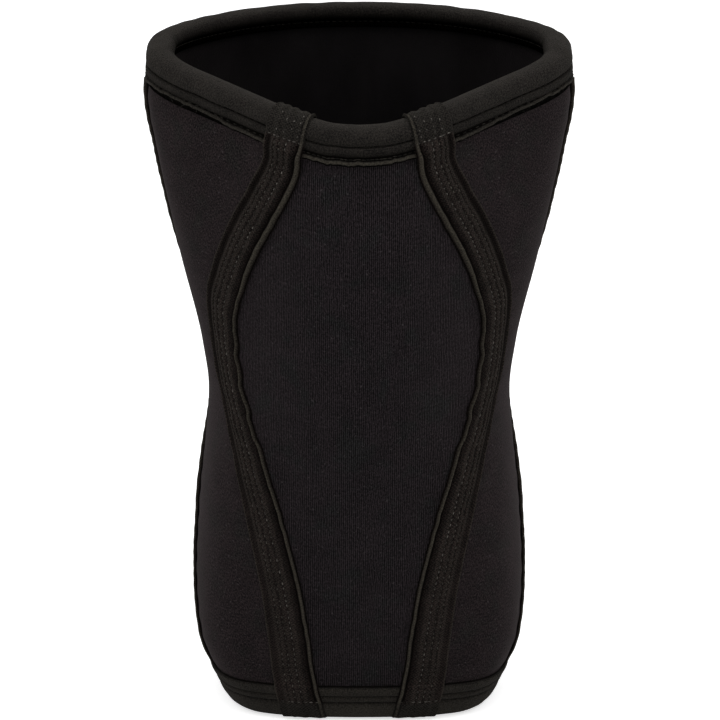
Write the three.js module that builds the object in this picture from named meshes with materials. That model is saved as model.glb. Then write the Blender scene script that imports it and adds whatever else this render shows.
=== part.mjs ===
// Knee sleeve, in millimetres, +Z up: a flared tube of padded cloth standing on its calf opening.
// The front of the knee faces -Y and the origin is on the ground below the middle of the sleeve.
// The wall is four panels. A raised tape covers each seam, and a rolled binding covers each edge.

import * as THREE from 'three';

// Overall sizes of the wall, from the ground to the highest point of the thigh rim.
const HEIGHT = 270;
const HALF_WIDTH = 81;
const FRONT_DEPTH = 65.5;
const BACK_DEPTH = 54;

// How far the front of the thigh rim sinks below its sides, and the height where that is complete.
const RIM_DIP = 18;
const RIM_DIP_HEIGHT = 240;

// Cloth sizes.
const WALL = 7;
const BINDING_CLOTH = 1.2;
const THIGH_FLAP = 13;
const CALF_FLAP = 15.3;
const INNER_FLAP = 8.5;
const TAPE_WIDTH = 16;
const TAPE_THICKNESS = 1.6;
const TAPE_EDGE_THICKNESS = 0.9;
const TAPE_BEVEL = 1.5;
const TAPE_RAMP = 4;
const TAPE_FOOT_LIFT = 0.6;

// Clearance between pieces that lie on each other, and between panels that meet at a seam.
const CLEARANCE = 0.3;

// Subdivision of the curved faces.
const ROLL_STEPS = 5;
const FOOT_STEPS = 2;
const FRONT_COLUMNS = 14;
const SIDE_COLUMNS = 10;
const REAR_COLUMNS = 18;
const PANEL_ROWS = 21;
const TAPE_ROWS = 22;

// Steps in turn and in level over which a slope of the wall is measured, and the hops of a slide round it.
const TURN_STEP = 0.0005;
const LEVEL_STEP = 1;
const SLIDE_HOPS = 4;

// One row per level. height is a share of HEIGHT, and the three half sizes are shares of HALF_WIDTH,
// FRONT_DEPTH and BACK_DEPTH. Each quarter of a section is drawn inside three straight legs: level at
// the middle of the front or back, then sloping, then straight at the side. The legs' two corners lie at
// a share of the half width and a share of the depth. straight is the share of each leg left unrounded.
const SECTIONS = [
  { height: 0.000, width: 0.628, front: 0.504, back: 0.833,
    frontCorner: 0.50, frontSide: 0.71, straight: 0.00, backCorner: 0.42, backSide: 0.42 },
  { height: 0.045, width: 0.700, front: 0.557, back: 0.898,
    frontCorner: 0.50, frontSide: 0.71, straight: 0.00, backCorner: 0.42, backSide: 0.42 },
  { height: 0.090, width: 0.769, front: 0.600, back: 0.933,
    frontCorner: 0.495, frontSide: 0.705, straight: 0.00, backCorner: 0.42, backSide: 0.42 },
  { height: 0.110, width: 0.784, front: 0.618, back: 0.944,
    frontCorner: 0.49, frontSide: 0.70, straight: 0.00, backCorner: 0.42, backSide: 0.42 },
  { height: 0.140, width: 0.795, front: 0.648, back: 0.950,
    frontCorner: 0.483, frontSide: 0.686, straight: 0.00, backCorner: 0.42, backSide: 0.42 },
  { height: 0.180, width: 0.799, front: 0.687, back: 0.954,
    frontCorner: 0.47, frontSide: 0.66, straight: 0.00, backCorner: 0.42, backSide: 0.41 },
  { height: 0.300, width: 0.777, front: 0.763, back: 0.963,
    frontCorner: 0.44, frontSide: 0.60, straight: 0.00, backCorner: 0.42, backSide: 0.40 },
  { height: 0.400, width: 0.743, front: 0.817, back: 0.963,
    frontCorner: 0.41, frontSide: 0.55, straight: 0.00, backCorner: 0.42, backSide: 0.39 },
  { height: 0.480, width: 0.726, front: 0.870, back: 0.963,
    frontCorner: 0.38, frontSide: 0.50, straight: 0.06, backCorner: 0.42, backSide: 0.38 },
  { height: 0.560, width: 0.757, front: 0.924, back: 0.963,
    frontCorner: 0.36, frontSide: 0.45, straight: 0.18, backCorner: 0.42, backSide: 0.36 },
  { height: 0.700, width: 0.862, front: 0.969, back: 0.981,
    frontCorner: 0.32, frontSide: 0.39, straight: 0.35, backCorner: 0.42, backSide: 0.34 },
  { height: 0.850, width: 0.963, front: 1.000, back: 1.000,
    frontCorner: 0.27, frontSide: 0.33, straight: 0.48, backCorner: 0.41, backSide: 0.33 },
  { height: 0.930, width: 1.000, front: 0.986, back: 1.000,
    frontCorner: 0.25, frontSide: 0.31, straight: 0.50, backCorner: 0.41, backSide: 0.33 },
  { height: 1.000, width: 0.978, front: 0.939, back: 0.970,
    frontCorner: 0.25, frontSide: 0.31, straight: 0.50, backCorner: 0.41, backSide: 0.33 },
];

// Where the seams run. front is the share of the quarter from the front centre to the side, and rear is
// the share of the quarter from the side to the back centre, so below zero it lies in front of the side.
const SEAMS = [
  { height: 0.00, front: 0.241, rear: -0.04 },
  { height: 0.10, front: 0.243, rear: -0.03 },
  { height: 0.20, front: 0.279, rear: 0.04 },
  { height: 0.28, front: 0.338, rear: 0.10 },
  { height: 0.35, front: 0.410, rear: 0.17 },
  { height: 0.43, front: 0.512, rear: 0.25 },
  { height: 0.50, front: 0.598, rear: 0.28 },
  { height: 0.56, front: 0.622, rear: 0.27 },
  { height: 0.65, front: 0.594, rear: 0.19 },
  { height: 0.72, front: 0.532, rear: 0.12 },
  { height: 0.80, front: 0.449, rear: 0.06 },
  { height: 0.87, front: 0.375, rear: 0.02 },
  { height: 0.93, front: 0.322, rear: 0.00 },
  { height: 1.00, front: 0.298, rear: -0.02 },
];

// Sizes that follow from those above.
const BINDING_LIFT = CLEARANCE + BINDING_CLOTH;
const ROLL_RADIUS = WALL / 2 + BINDING_LIFT;
const ROLL_SEAT = ROLL_RADIUS * Math.cos(Math.PI / (2 * ROLL_STEPS));
const TOP_CENTRE = HEIGHT - ROLL_SEAT;
const BOTTOM_CENTRE = ROLL_SEAT;

const clothMaterial = (name, color, roughness) =>
  new THREE.MeshStandardMaterial({ name, color, roughness, metalness: 0 });
const RIBBED_CLOTH = clothMaterial('ribbed_cloth', 0x1a1819, 0.95);
const SMOOTH_CLOTH = clothMaterial('smooth_cloth', 0x201d1e, 0.85);
const TAPE_CLOTH = clothMaterial('tape_cloth', 0x1d1a17, 0.9);
const BINDING_TAPE = clothMaterial('binding_cloth', 0x211e1c, 0.9);

// A value read from a table's column at a height share, along a smooth curve that never overshoots.
function readTable(table, column, share) {
  const count = table.length;
  const slope = (i) =>
    (table[i + 1][column] - table[i][column]) / (table[i + 1].height - table[i].height);
  const tangent = (i) => {
    if (i === 0) return slope(0);
    if (i === count - 1) return slope(count - 2);
    const before = slope(i - 1);
    const after = slope(i);
    if (before * after <= 0) return 0;
    const spanBefore = table[i].height - table[i - 1].height;
    const spanAfter = table[i + 1].height - table[i].height;
    const weightBefore = 2 * spanAfter + spanBefore;
    const weightAfter = spanAfter + 2 * spanBefore;
    return (weightBefore + weightAfter) / (weightBefore / before + weightAfter / after);
  };
  let i = 0;
  while (i < count - 2 && share > table[i + 1].height) i++;
  const span = table[i + 1].height - table[i].height;
  const t = (share - table[i].height) / span;
  return table[i][column] * (1 + 2 * t) * (1 - t) ** 2
    + tangent(i) * span * t * (1 - t) ** 2
    + table[i + 1][column] * t * t * (3 - 2 * t)
    + tangent(i + 1) * span * t * t * (t - 1);
}

// A straight leg from p to q, and a rounded corner from p to q that bends towards c: place and direction.
const straightLeg = (p, q, t) => [p.clone().lerp(q, t), q.clone().sub(p)];
const roundedCorner = (p, c, q, t) => {
  const first = p.clone().lerp(c, t);
  const second = c.clone().lerp(q, t);
  return [first.clone().lerp(second, t), second.sub(first)];
};

// One quarter of a section at t from the front or back centre (0) to the side (1).
function quarterPoint(t, width, depth, corner, side, straight) {
  const centre = new THREE.Vector2(0, depth);
  const knee = new THREE.Vector2(width * corner, depth);
  const hip = new THREE.Vector2(width, depth * side);
  const end = new THREE.Vector2(width, 0);
  const middle = knee.clone().lerp(hip, 0.5);
  const leg = straight / 4;
  const a = centre.clone().lerp(knee, straight);
  const b = middle.clone().lerp(knee, straight);
  const c = middle.clone().lerp(hip, straight);
  const d = end.clone().lerp(hip, straight);
  const within = (from, to) => (t - from) / (to - from);
  if (t < leg) return straightLeg(centre, a, within(0, leg));
  if (t < 0.5 - leg) return roundedCorner(a, knee, b, within(leg, 0.5 - leg));
  if (t < 0.5 + leg) return straightLeg(b, c, within(0.5 - leg, 0.5 + leg));
  if (t < 1 - leg || leg === 0) return roundedCorner(c, hip, d, within(0.5 + leg, 1 - leg));
  return straightLeg(d, end, within(1 - leg, 1));
}

// A point of the sleeve. turn is the share of a full turn: 0 front, 0.25 right, 0.5 back, 0.75 left.
// level is the height before the rim's dip, and outward is the distance from the wall's outer face.
function sleevePoint(turn, level, outward) {
  const wrapped = turn - Math.floor(turn);
  const fromFront = Math.min(wrapped, 1 - wrapped);
  const mirror = wrapped <= 0.5 ? 1 : -1;
  const isFront = fromFront < 0.25;
  const read = (column) => readTable(SECTIONS, column, level / HEIGHT);
  const [point, direction] = quarterPoint(
    isFront ? fromFront * 4 : 2 - fromFront * 4,
    HALF_WIDTH * read('width'),
    isFront ? FRONT_DEPTH * read('front') : BACK_DEPTH * read('back'),
    read(isFront ? 'frontCorner' : 'backCorner'),
    read(isFront ? 'frontSide' : 'backSide'),
    isFront ? read('straight') : 0,
  );
  const normal = new THREE.Vector2(-direction.y, direction.x).normalize();
  point.addScaledVector(normal, outward);
  const rise = THREE.MathUtils.smoothstep(level, 0, RIM_DIP_HEIGHT);
  const dip = isFront ? RIM_DIP * rise * Math.cos(2 * Math.PI * fromFront) ** 2 : 0;
  return new THREE.Vector3(mirror * point.x, isFront ? -point.y : point.y, level - dip);
}

// The turn that lies a number of millimetres further round the wall's outer face at a level.
function slide(turn, level, distance) {
  let moved = turn;
  for (let i = 0; i < SLIDE_HOPS; i++) {
    const ahead = sleevePoint(moved + TURN_STEP, level, 0);
    const behind = sleevePoint(moved - TURN_STEP, level, 0);
    moved += (distance / SLIDE_HOPS) * (2 * TURN_STEP) / ahead.distanceTo(behind);
  }
  return moved;
}

// The turns of the four seams at a level. The left front seam ends one panel and begins another, so it
// is given both below zero and just short of a full turn.
const frontRight = (level) => readTable(SEAMS, 'front', level / HEIGHT) / 4;
const rearRight = (level) => 0.25 + readTable(SEAMS, 'rear', level / HEIGHT) / 4;
const rearLeft = (level) => 1 - rearRight(level);
const frontLeft = (level) => -frontRight(level);
const frontLeftWrapped = (level) => 1 - frontRight(level);

// A closed body from rings of points: ring j joins ring j + 1, and the last ring joins the first when
// closed. Otherwise each end ring is filled by a ladder of rungs between its two long sides.
function bodyFromRings(rings, closed, ladderStart) {
  const count = rings[0].length;
  const positions = rings.flat().flatMap((point) => point.toArray());
  const index = [];
  const spans = closed ? rings.length : rings.length - 1;
  for (let j = 0; j < spans; j++) {
    const here = j * count;
    const next = ((j + 1) % rings.length) * count;
    for (let i = 0; i < count; i++) {
      const after = (i + 1) % count;
      index.push(here + i, next + i, next + after);
      index.push(here + i, next + after, here + after);
    }
  }
  if (!closed) {
    const last = (rings.length - 1) * count;
    const at = (i) => (i + count) % count;
    for (let rung = 0; rung < count / 2 - 1; rung++) {
      const [a, b] = [at(ladderStart + rung), at(ladderStart + rung + 1)];
      const [c, d] = [at(ladderStart - 1 - rung), at(ladderStart - 2 - rung)];
      index.push(a, b, d, a, d, c);
      index.push(last + a, last + d, last + b, last + a, last + c, last + d);
    }
  }
  const geometry = new THREE.BufferGeometry();
  geometry.setAttribute('position', new THREE.Float32BufferAttribute(positions, 3));
  geometry.setIndex(index);
  geometry.computeVertexNormals();
  return geometry;
}

// The rounded edge of the wall, as outward and level pairs strictly between its two faces.
function roundedEdge(radius, centre, up) {
  const pairs = [];
  for (let k = 1; k < ROLL_STEPS; k++) {
    const angle = (Math.PI * k) / ROLL_STEPS;
    pairs.push([-WALL / 2 + radius * Math.cos(angle), centre + up * radius * Math.sin(angle)]);
  }
  return pairs;
}

// The wall's profile at one turn: up the outer face, over the thigh edge, down inside, under the calf edge.
function wallProfile() {
  const levels = [];
  for (let i = 0; i <= PANEL_ROWS; i++) {
    levels.push(THREE.MathUtils.lerp(BOTTOM_CENTRE, TOP_CENTRE, i / PANEL_ROWS));
  }
  return [
    ...levels.map((level) => [0, level]),
    ...roundedEdge(WALL / 2, TOP_CENTRE, 1),
    ...levels.toReversed().map((level) => [-WALL, level]),
    ...roundedEdge(WALL / 2, BOTTOM_CENTRE, -1).reverse(),
  ];
}

// A panel of the wall between two seams, each held half a clearance off.
function panelGeometry(fromSeam, toSeam, columns) {
  const rings = [];
  const profile = wallProfile();
  for (let j = 0; j <= columns; j++) {
    rings.push(profile.map(([outward, level]) => {
      const start = slide(fromSeam(level), level, CLEARANCE / 2);
      const end = slide(toSeam(level), level, -CLEARANCE / 2);
      return sleevePoint(THREE.MathUtils.lerp(start, end, j / columns), level, outward);
    }));
  }
  const middleUnderHem = (1 - ROLL_STEPS) / 2;
  return bodyFromRings(rings, false, middleUnderHem);
}

// The turns of the columns round the whole sleeve, matching the panels' own columns.
function ringTurns(level) {
  const turns = [];
  const addSpan = (from, to, columns) => {
    for (let j = 0; j < columns; j++) turns.push(THREE.MathUtils.lerp(from, to, j / columns));
  };
  addSpan(frontLeft(level), frontRight(level), FRONT_COLUMNS);
  addSpan(frontRight(level), rearRight(level), SIDE_COLUMNS);
  addSpan(rearRight(level), rearLeft(level), REAR_COLUMNS);
  addSpan(rearLeft(level), frontLeftWrapped(level), SIDE_COLUMNS);
  return turns;
}

// A binding folded over an edge: a rolled strip with one flap outside the wall and one inside.
function bindingGeometry(centre, up, outerFlap) {
  const edge = centre + up * ROLL_SEAT;
  const outerEnd = edge - up * outerFlap;
  const innerEnd = edge - up * INNER_FLAP;
  const profile = [
    [BINDING_LIFT, outerEnd],
    [BINDING_LIFT, centre],
    ...roundedEdge(ROLL_RADIUS, centre, up),
    [-WALL - BINDING_LIFT, centre],
    [-WALL - BINDING_LIFT, innerEnd],
    [-WALL - CLEARANCE, innerEnd],
    [-WALL - CLEARANCE, centre],
    ...roundedEdge(WALL / 2 + CLEARANCE, centre, up).reverse(),
    [CLEARANCE, centre],
    [CLEARANCE, outerEnd],
  ];
  if (up < 0) profile.reverse();
  const turnsByLevel = profile.map(([, level]) => ringTurns(level));
  const rings = turnsByLevel[0].map((_, j) =>
    profile.map(([outward, level], i) => sleevePoint(turnsByLevel[i][j], level, outward)));
  return bodyFromRings(rings, true);
}

// Stations of the stretch of a tape's underside that lies on the wall between the bindings. Each has its
// outward place, its level and the direction that the tape is thick in.
const HEM_EDGE = CALF_FLAP;
const RIM_EDGE = HEIGHT - THIGH_FLAP;
const onWall = (outward, level) => ({ outward, level, side: 1, rise: 0 });
function wallPath() {
  const path = [];
  for (let i = 0; i <= TAPE_ROWS; i++) {
    const level = THREE.MathUtils.lerp(HEM_EDGE + TAPE_RAMP, RIM_EDGE - TAPE_RAMP, i / TAPE_ROWS);
    path.push(onWall(CLEARANCE, level));
  }
  return path;
}

// The path of a rear tape's underside: up the wall, from the edge of one binding to the other's.
const rearTapePath = () => [
  onWall(CLEARANCE, HEM_EDGE + CLEARANCE),
  ...wallPath(),
  onWall(CLEARANCE, RIM_EDGE - CLEARANCE),
];

// The path of a front tape's underside: over the calf hem, up the wall and over the thigh rim to the inside.
function frontTapePath() {
  const overBinding = BINDING_LIFT + CLEARANCE;
  const rollRadius = ROLL_RADIUS + CLEARANCE;
  const onRoll = (angle, centre, up) => ({
    outward: -WALL / 2 + rollRadius * Math.cos(angle),
    level: centre + up * rollRadius * Math.sin(angle),
    side: Math.cos(angle),
    rise: up * Math.sin(angle),
  });
  const path = [];
  const foot = Math.asin((BOTTOM_CENTRE - TAPE_FOOT_LIFT) / (rollRadius + TAPE_THICKNESS));
  for (let k = FOOT_STEPS; k >= 0; k--) {
    path.push(onRoll((foot * k) / FOOT_STEPS, BOTTOM_CENTRE, -1));
  }
  path.push(onWall(overBinding, HEM_EDGE + CLEARANCE), ...wallPath());
  path.push(onWall(overBinding, RIM_EDGE - CLEARANCE));
  for (let k = 0; k <= ROLL_STEPS; k++) {
    path.push(onRoll((Math.PI * k) / ROLL_STEPS, TOP_CENTRE, 1));
  }
  path.push({ outward: -WALL - overBinding, level: HEIGHT - INNER_FLAP, side: -1, rise: 0 });
  return path;
}

// The tape's cross-section: along pairs (across the tape, above its underside), under face then top face.
function tapeProfile() {
  const half = TAPE_WIDTH / 2;
  const under = [1, 0.5, 0, -0.5, -1].map((share) => [share * half, 0]);
  const shoulder = half - TAPE_BEVEL;
  const top = [
    [-half, TAPE_EDGE_THICKNESS],
    [-shoulder, TAPE_THICKNESS],
    [0, TAPE_THICKNESS],
    [shoulder, TAPE_THICKNESS],
    [half, TAPE_EDGE_THICKNESS],
  ];
  return [...under, ...top];
}

// A tape over a seam. It is cut level at each station, so a sloping seam widens it along the level.
function tapeGeometry(seam, path) {
  const profile = tapeProfile();
  const rings = path.map(({ outward, level, side, rise }) => {
    const [low, high] = [level - LEVEL_STEP, Math.min(level + LEVEL_STEP, HEIGHT)];
    const below = sleevePoint(seam(low), low, 0);
    const above = sleevePoint(seam(high), high, 0);
    const run = above.sub(below);
    const slant = Math.hypot(run.x, run.y, run.z) / Math.abs(run.z);
    return profile.map(([across, lift]) => {
      const turn = slide(seam(level), level, across * slant);
      return sleevePoint(turn, level + rise * lift, outward + side * lift);
    });
  });
  const firstOfTop = profile.length / 2;
  return bodyFromRings(rings.reverse(), false, firstOfTop);
}

const sleeve = new THREE.Group();

function addPiece(name, geometry, material) {
  const mesh = new THREE.Mesh(geometry, material);
  mesh.name = name;
  sleeve.add(mesh);
}

// The four panels of the wall.
addPiece('front_panel', panelGeometry(frontLeft, frontRight, FRONT_COLUMNS), RIBBED_CLOTH);
addPiece('side_panel_right', panelGeometry(frontRight, rearRight, SIDE_COLUMNS), SMOOTH_CLOTH);
addPiece('rear_panel', panelGeometry(rearRight, rearLeft, REAR_COLUMNS), SMOOTH_CLOTH);
addPiece('side_panel_left', panelGeometry(rearLeft, frontLeftWrapped, SIDE_COLUMNS), SMOOTH_CLOTH);

// The bindings of the thigh rim and the calf hem.
addPiece('top_binding', bindingGeometry(TOP_CENTRE, 1, THIGH_FLAP), BINDING_TAPE);
addPiece('bottom_binding', bindingGeometry(BOTTOM_CENTRE, -1, CALF_FLAP), BINDING_TAPE);

// The four seam tapes. The front ones lie over both bindings, and the rear ones end at them.
addPiece('front_seam_tape_left', tapeGeometry(frontLeft, frontTapePath()), TAPE_CLOTH);
addPiece('front_seam_tape_right', tapeGeometry(frontRight, frontTapePath()), TAPE_CLOTH);
addPiece('rear_seam_tape_right', tapeGeometry(rearRight, rearTapePath()), TAPE_CLOTH);
addPiece('rear_seam_tape_left', tapeGeometry(rearLeft, rearTapePath()), TAPE_CLOTH);

// The sleeve's middle comes over the origin.
const middle = new THREE.Box3().setFromObject(sleeve).getCenter(new THREE.Vector3());
sleeve.position.set(-middle.x, -middle.y, 0);

export default sleeve;
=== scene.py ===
"""The looks of a padded knee sleeve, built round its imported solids.

Lengths on the drawing are in millimetres and each mesh is made in metres. A place on the sleeve is given by
its turn (the share of a full turn: 0 front, 0.25 right, 0.5 back, 0.75 left), its level (the height before
the front of the rim dips) and how far outward it lies from the wall's outer face.
"""
import math

import bpy
import numpy as np
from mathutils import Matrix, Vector


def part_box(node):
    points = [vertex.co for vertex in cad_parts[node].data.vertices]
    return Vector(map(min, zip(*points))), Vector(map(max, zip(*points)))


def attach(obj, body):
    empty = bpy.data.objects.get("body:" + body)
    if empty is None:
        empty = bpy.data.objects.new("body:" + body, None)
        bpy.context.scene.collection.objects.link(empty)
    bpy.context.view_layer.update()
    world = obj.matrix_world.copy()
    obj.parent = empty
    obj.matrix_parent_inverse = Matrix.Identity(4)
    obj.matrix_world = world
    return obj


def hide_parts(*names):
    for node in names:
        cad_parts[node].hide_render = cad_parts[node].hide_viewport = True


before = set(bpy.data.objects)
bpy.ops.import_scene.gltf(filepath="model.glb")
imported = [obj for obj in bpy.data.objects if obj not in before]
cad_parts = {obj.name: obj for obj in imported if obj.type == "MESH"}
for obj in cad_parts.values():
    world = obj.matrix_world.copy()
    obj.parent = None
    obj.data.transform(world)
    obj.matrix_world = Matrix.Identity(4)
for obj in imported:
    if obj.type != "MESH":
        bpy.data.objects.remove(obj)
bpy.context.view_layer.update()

# The photograph's view. The sleeve stands upright on its calf opening, and the camera looks at the front of
# the knee from a little above the rim, through a long lens.
VIEW_RISE = math.radians(19.3)
VIEW_DISTANCE = 2.2
VIEW_LENS = 280.5
VIEW_AIM = Vector((0.0003, 0.004865, 0.1387))

camera = bpy.data.objects.new("camera", bpy.data.cameras.new("camera"))
bpy.context.collection.objects.link(camera)
view_back = Vector((0, -math.cos(VIEW_RISE), math.sin(VIEW_RISE)))
camera.location = VIEW_AIM + view_back * VIEW_DISTANCE
camera.rotation_euler = (-view_back).to_track_quat("-Z", "Y").to_euler()
camera.data.lens = VIEW_LENS
camera.data.clip_start = 0.1
camera.data.clip_end = 20
bpy.context.scene.camera = camera

# The padded wall. Four panels of foam rubber, faced with stretch cloth on both sides and 7 mm thick, are cut
# to shape and sewn edge to edge. The front panel's cloth has fine upright ribs, and the other three are
# smooth.
MM = 0.001
HEIGHT = 270.0
HALF_WIDTH = 81.0
FRONT_DEPTH = 65.5
BACK_DEPTH = 54.0
RIM_DIP = 18.0
RIM_DIP_HEIGHT = 240.0
WALL = 7.0
CLEARANCE = 0.3
EDGE_CENTRE = 4.755
BACK_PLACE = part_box("rear_panel")[1].y / MM - BACK_DEPTH
QUARTER = 0.25

# Sections by share of the height: shares of the half width and of the two depths, where a section's corners
# lie as shares of its own width and depth, and how straight the front's legs stay. The seams' places are
# shares of a quarter turn, the front ones from the middle of the front and the rear ones from the side.
SECTIONS = {
    "height": [0, .045, .09, .11, .14, .18, .30, .40, .48, .56, .70, .85, .93, 1],
    "width": [.628, .700, .769, .784, .795, .799, .777, .743, .726, .757, .862, .963, 1, .978],
    "front": [.504, .557, .600, .618, .648, .687, .763, .817, .870, .924, .969, 1, .986, .939],
    "back": [.833, .898, .933, .944, .950, .954, .963, .963, .963, .963, .981, 1, 1, .970],
    "front_corner": [.50, .50, .495, .49, .483, .47, .44, .41, .38, .36, .32, .27, .25, .25],
    "front_side": [.71, .71, .705, .70, .686, .66, .60, .55, .50, .45, .39, .33, .31, .31],
    "straight": [0, 0, 0, 0, 0, 0, 0, 0, .06, .18, .35, .48, .50, .50],
    "back_corner": [.42, .42, .42, .42, .42, .42, .42, .42, .42, .42, .42, .41, .41, .41],
    "back_side": [.42, .42, .42, .42, .42, .41, .40, .39, .38, .36, .34, .33, .33, .33],
}
SEAMS = {
    "height": [0, .10, .20, .28, .35, .43, .50, .56, .65, .72, .80, .87, .93, 1],
    "front": [.241, .243, .279, .338, .410, .512, .598, .622, .594, .532, .449, .375, .322, .298],
    "rear": [-.04, -.03, .04, .10, .17, .25, .28, .27, .19, .12, .06, .02, 0, -.02],
}


def read_table(table, column, share, key="height"):
    """Reads a table's column at shares of its key, on a cubic through the rows. A row's slope is the weighted
    harmonic mean of the slopes of the spans beside it, and zero where they differ in sign, so nothing
    overshoots."""
    at, value = np.array(table[key], float), np.array(table[column], float)
    span = np.diff(at)
    slope = np.diff(value) / span
    before, after = slope[:-1], slope[1:]
    heavy, light = 2 * span[1:] + span[:-1], span[1:] + 2 * span[:-1]
    agree = before * after > 0
    mean = (heavy + light) / (heavy / np.where(agree, before, 1) + light / np.where(agree, after, 1))
    tangent = np.concatenate([slope[:1], np.where(agree, mean, 0), slope[-1:]])
    share = np.clip(share, at[0], at[-1])
    i = np.clip(np.searchsorted(at, share, side="right") - 1, 0, len(span) - 1)
    t = (share - at[i]) / span[i]
    return (value[i] * (1 + 2 * t) * (1 - t) ** 2 + tangent[i] * span[i] * t * (1 - t) ** 2
            + value[i + 1] * t * t * (3 - 2 * t) + tangent[i + 1] * span[i] * t * t * (t - 1))


def quarter_point(t, width, depth, corner, side, straight):
    """A quarter of a section from the middle of the front or back (t 0) to the side (t 1). Three straight
    legs meet at two corners, each leg keeps its straight share, and a parabola rounds each corner between
    the legs. Gives x, y and the direction along the curve."""
    zero = 0 * t + 0 * width
    centre, knee = (zero, depth), (width * corner, depth)
    hip, end = (width, depth * side), (width, zero)
    mix = lambda p, q, share: tuple(a + (b - a) * share for a, b in zip(p, q))
    middle = mix(knee, hip, 0.5)
    leave_centre, reach_middle = mix(centre, knee, straight), mix(middle, knee, straight)
    leave_middle, reach_end = mix(middle, hip, straight), mix(end, hip, straight)
    t = np.clip(t, 0, 1 - 1e-9)
    leg = straight / 4 + zero
    stops = np.stack([zero, leg, 0.5 - leg, 0.5 + leg, 1 - leg, zero + 1])
    part = sum((t >= stops[k]).astype(int) for k in range(1, 5))
    curves = [
        (centre, mix(centre, leave_centre, 0.5), leave_centre),
        (leave_centre, knee, reach_middle),
        (reach_middle, middle, leave_middle),
        (leave_middle, hip, reach_end),
        (reach_end, mix(reach_end, end, 0.5), end),
    ]
    pick = lambda k, axis: np.choose(part, [curve[k][axis] + zero for curve in curves])
    low, high = np.choose(part, list(stops[:5])), np.choose(part, list(stops[1:]))
    w = (t - low) / np.maximum(high - low, 1e-9)
    x, y = ((1 - w) ** 2 * pick(0, n) + 2 * w * (1 - w) * pick(1, n) + w * w * pick(2, n) for n in (0, 1))
    dx, dy = ((1 - w) * (pick(1, n) - pick(0, n)) + w * (pick(2, n) - pick(1, n)) for n in (0, 1))
    return x, y, dx, dy


def from_front(turn):
    """The share of a turn that a place lies from the middle of the front, the shorter way round."""
    return np.minimum(turn % 1, 1 - turn % 1)


def sleeve_point(turn, level, outward):
    """Places on the sleeve, in millimetres. The quarter's curve at that level is moved outward along its own
    normal, mirrored for the left half, and lowered by the dip of the rim's front, which grows with the height
    on a smooth step and falls off to the sides with the squared cosine of the turn."""
    turn, level, outward = np.broadcast_arrays(*(np.asarray(v, float) for v in (turn, level, outward)))
    apart = from_front(turn)
    is_front = apart < QUARTER
    read = lambda column: read_table(SECTIONS, column, level / HEIGHT)
    x, y, dx, dy = quarter_point(
        np.where(is_front, apart / QUARTER, 2 - apart / QUARTER),
        HALF_WIDTH * read("width"),
        np.where(is_front, FRONT_DEPTH * read("front"), BACK_DEPTH * read("back")),
        np.where(is_front, read("front_corner"), read("back_corner")),
        np.where(is_front, read("front_side"), read("back_side")),
        np.where(is_front, read("straight"), 0))
    length = np.hypot(dx, dy)
    x, y = x - dy / length * outward, y + dx / length * outward
    rise = np.clip(level / RIM_DIP_HEIGHT, 0, 1)
    dip = np.where(is_front, RIM_DIP * rise * rise * (3 - 2 * rise) * np.cos(2 * np.pi * apart) ** 2, 0)
    x, y = np.where(turn % 1 <= 0.5, x, -x), np.where(is_front, -y, y) + BACK_PLACE
    return np.stack([x, y, level - dip], -1)


TURN_STEP = 0.0005
SLIDE_HOPS = 6


def slide(turn, level, distance):
    """The turns that lie so many millimetres further round the wall at these levels, found in a few short
    hops, each divided by the length that one turn has there."""
    moved = turn + 0 * distance
    for _ in range(SLIDE_HOPS):
        ahead, behind = sleeve_point(moved + TURN_STEP, level, 0), sleeve_point(moved - TURN_STEP, level, 0)
        moved = moved + distance / SLIDE_HOPS * 2 * TURN_STEP / np.linalg.norm(ahead - behind, axis=-1)
    return moved


def ramp(value, start, end):
    """Goes evenly from nought at the start to one at the end, and stays there beyond both."""
    return np.clip((value - start) / (end - start), 0, 1)


# Height, waves in a turn, shift in turns, millimetres of level in a radian, and shift in radians.
GIVE_WAVES = [(0.20, 3, 0.13, 31.0, 0.7), (0.14, 7, 0.41, 17.0, 2.1), (0.09, 13, 0.77, 9.5, 4.0)]
GIVE_FADE = 30.0


def give(turn, level):
    """How far the soft wall stands in or out of its drawn face: long waves round and up the sleeve, each a
    product of two sines, fading to nothing at both rims."""
    waves = sum(height * np.sin(2 * np.pi * (count * turn + shift)) * np.sin(level / span + lift)
                for height, count, shift, span, lift in GIVE_WAVES)
    return waves * ramp(np.minimum(level, HEIGHT - level), 0, GIVE_FADE)


def front_seam(level):
    """The turn of the right front seam."""
    return read_table(SEAMS, "front", level / HEIGHT) * QUARTER


def rear_seam(level):
    """The turn of the right rear seam."""
    return QUARTER + read_table(SEAMS, "rear", level / HEIGHT) * QUARTER


def left_front_seam(level):
    """The turn of the left front seam, the mirror image of the right one."""
    return -front_seam(level)


def left_rear_seam(level):
    """The turn of the left rear seam, the mirror image of the right one."""
    return 1 - rear_seam(level)


def hang(name, mesh):
    """Puts a finished mesh into the scene as a piece on the sleeve's one body."""
    piece = bpy.data.objects.new(name, mesh)
    bpy.context.collection.objects.link(piece)
    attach(piece, "root")
    return piece


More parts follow.
